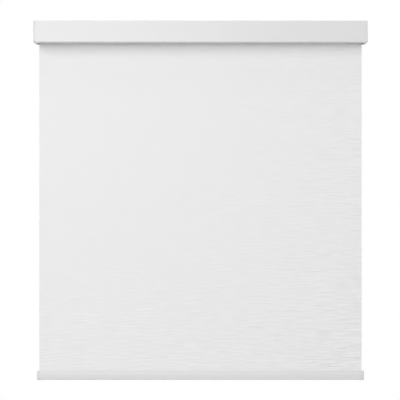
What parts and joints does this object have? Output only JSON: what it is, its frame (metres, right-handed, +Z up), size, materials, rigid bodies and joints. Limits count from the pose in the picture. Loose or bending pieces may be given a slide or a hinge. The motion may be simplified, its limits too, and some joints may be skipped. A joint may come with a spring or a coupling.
{
  "type": "roller shade",
  "caption": "Cordless spring roller shade in a square cassette, lowered, with a flat white cloth and a capped bottom rail, on clip-in brackets.",
  "frame": {"origin": "centre of the four wall screw holes of the two brackets, on the wall face", "axes": "+X along the cassette to the right as seen from the room, +Y towards the wall, +Z up"},
  "size_m": [1, 0.065, 1.0833],
  "materials": {
    "white_powder_coat": "smooth satin white powder coat",
    "white_plastic": "fine-grained white moulding",
    "white_fabric": "coated white blackout cloth with a fine crinkle",
    "plated_steel": "bright zinc plating",
    "bracket_steel": "white painted sheet steel",
    "spring_wire": "oiled spring wire",
    "mill_aluminium": "plain extruded aluminium",
    "grey_nylon": "grey glass-filled nylon",
    "black_nylon": "black nylon",
    "natural_acetal": "natural acetal"
  },
  "bodies": {
    "cassette": {"headrail": "white_powder_coat", "fascia": "white_powder_coat", "end_cap_left": "white_plastic", "end_cap_right": "white_plastic", "cap_screws_left": "plated_steel", "cap_screws_right": "plated_steel", "bracket_left": "bracket_steel", "bracket_right": "bracket_steel", "cam_rivet_left": "plated_steel", "cam_rivet_right": "plated_steel", "spring_arbor": "plated_steel", "ratchet_wheel": "black_nylon", "spring_anchor": "black_nylon", "anchor_pin": "plated_steel", "counter_spring": "spring_wire", "bearing_bush": "natural_acetal", "fabric_panel": "white_fabric"},
    "roller": {"roller_tube": "mill_aluminium", "fabric_strip": "natural_acetal", "fabric_roll": "white_fabric", "spring_end_plug": "grey_nylon", "pawl_pins": "plated_steel", "tube_guide": "grey_nylon", "idle_end_plug": "grey_nylon", "idle_pin_spring": "spring_wire", "spring_seat": "plated_steel"},
    "pawl_a": {"pawl_a": "black_nylon"},
    "pawl_b": {"pawl_b": "black_nylon"},
    "idle_pin": {"idle_pin": "plated_steel"},
    "cam_left": {"cam_lever_left": "plated_steel"},
    "cam_right": {"cam_lever_right": "plated_steel"},
    "bottom_rail": {"bottom_rail": "white_powder_coat", "rail_spline": "natural_acetal", "rail_cap_left": "white_plastic", "rail_cap_right": "white_plastic", "ballast_bar": "plated_steel"}
  },
  "joints": [
    {"name": "rail_lift", "type": "slide", "parent": "cassette", "child": "bottom_rail", "axis": [0, 0, 1], "range_m": [0, 0.9876], "deforming": ["fabric_panel"]},
    {"name": "tube_turn", "type": "hinge", "parent": "cassette", "child": "roller", "pos_m": [0, -0.035, -0.0216], "axis": [1, 0, 0], "range_deg": [0, 2880], "deforming": ["counter_spring"]},
    {"name": "idle_pin_retract", "type": "slide", "parent": "roller", "child": "idle_pin", "axis": [-1, 0, 0], "range_m": [0, 0.005], "stiffness_N_per_m": 300, "springref_m": -0.01, "deforming": ["idle_pin_spring"]},
    {"name": "pawl_a_swing", "type": "hinge", "parent": "roller", "child": "pawl_a", "pos_m": [-0.4872, -0.035, -0.0132], "axis": [1, 0, 0], "range_deg": [0, 22]},
    {"name": "pawl_b_swing", "type": "hinge", "parent": "roller", "child": "pawl_b", "pos_m": [-0.4872, -0.035, -0.03], "axis": [1, 0, 0], "range_deg": [0, 22]},
    {"name": "cam_left_turn", "type": "hinge", "parent": "cassette", "child": "cam_left", "pos_m": [-0.35, -0.034, 0.0097], "axis": [0, 0, 1], "range_deg": [0, 80]},
    {"name": "cam_right_turn", "type": "hinge", "parent": "cassette", "child": "cam_right", "pos_m": [0.35, -0.034, 0.0097], "axis": [0, 0, 1], "range_deg": [0, 80]}
  ],
  "couplings": [
    {"joint": "tube_turn", "follows": "rail_lift", "rad_per_m": 50.897}
  ]
}
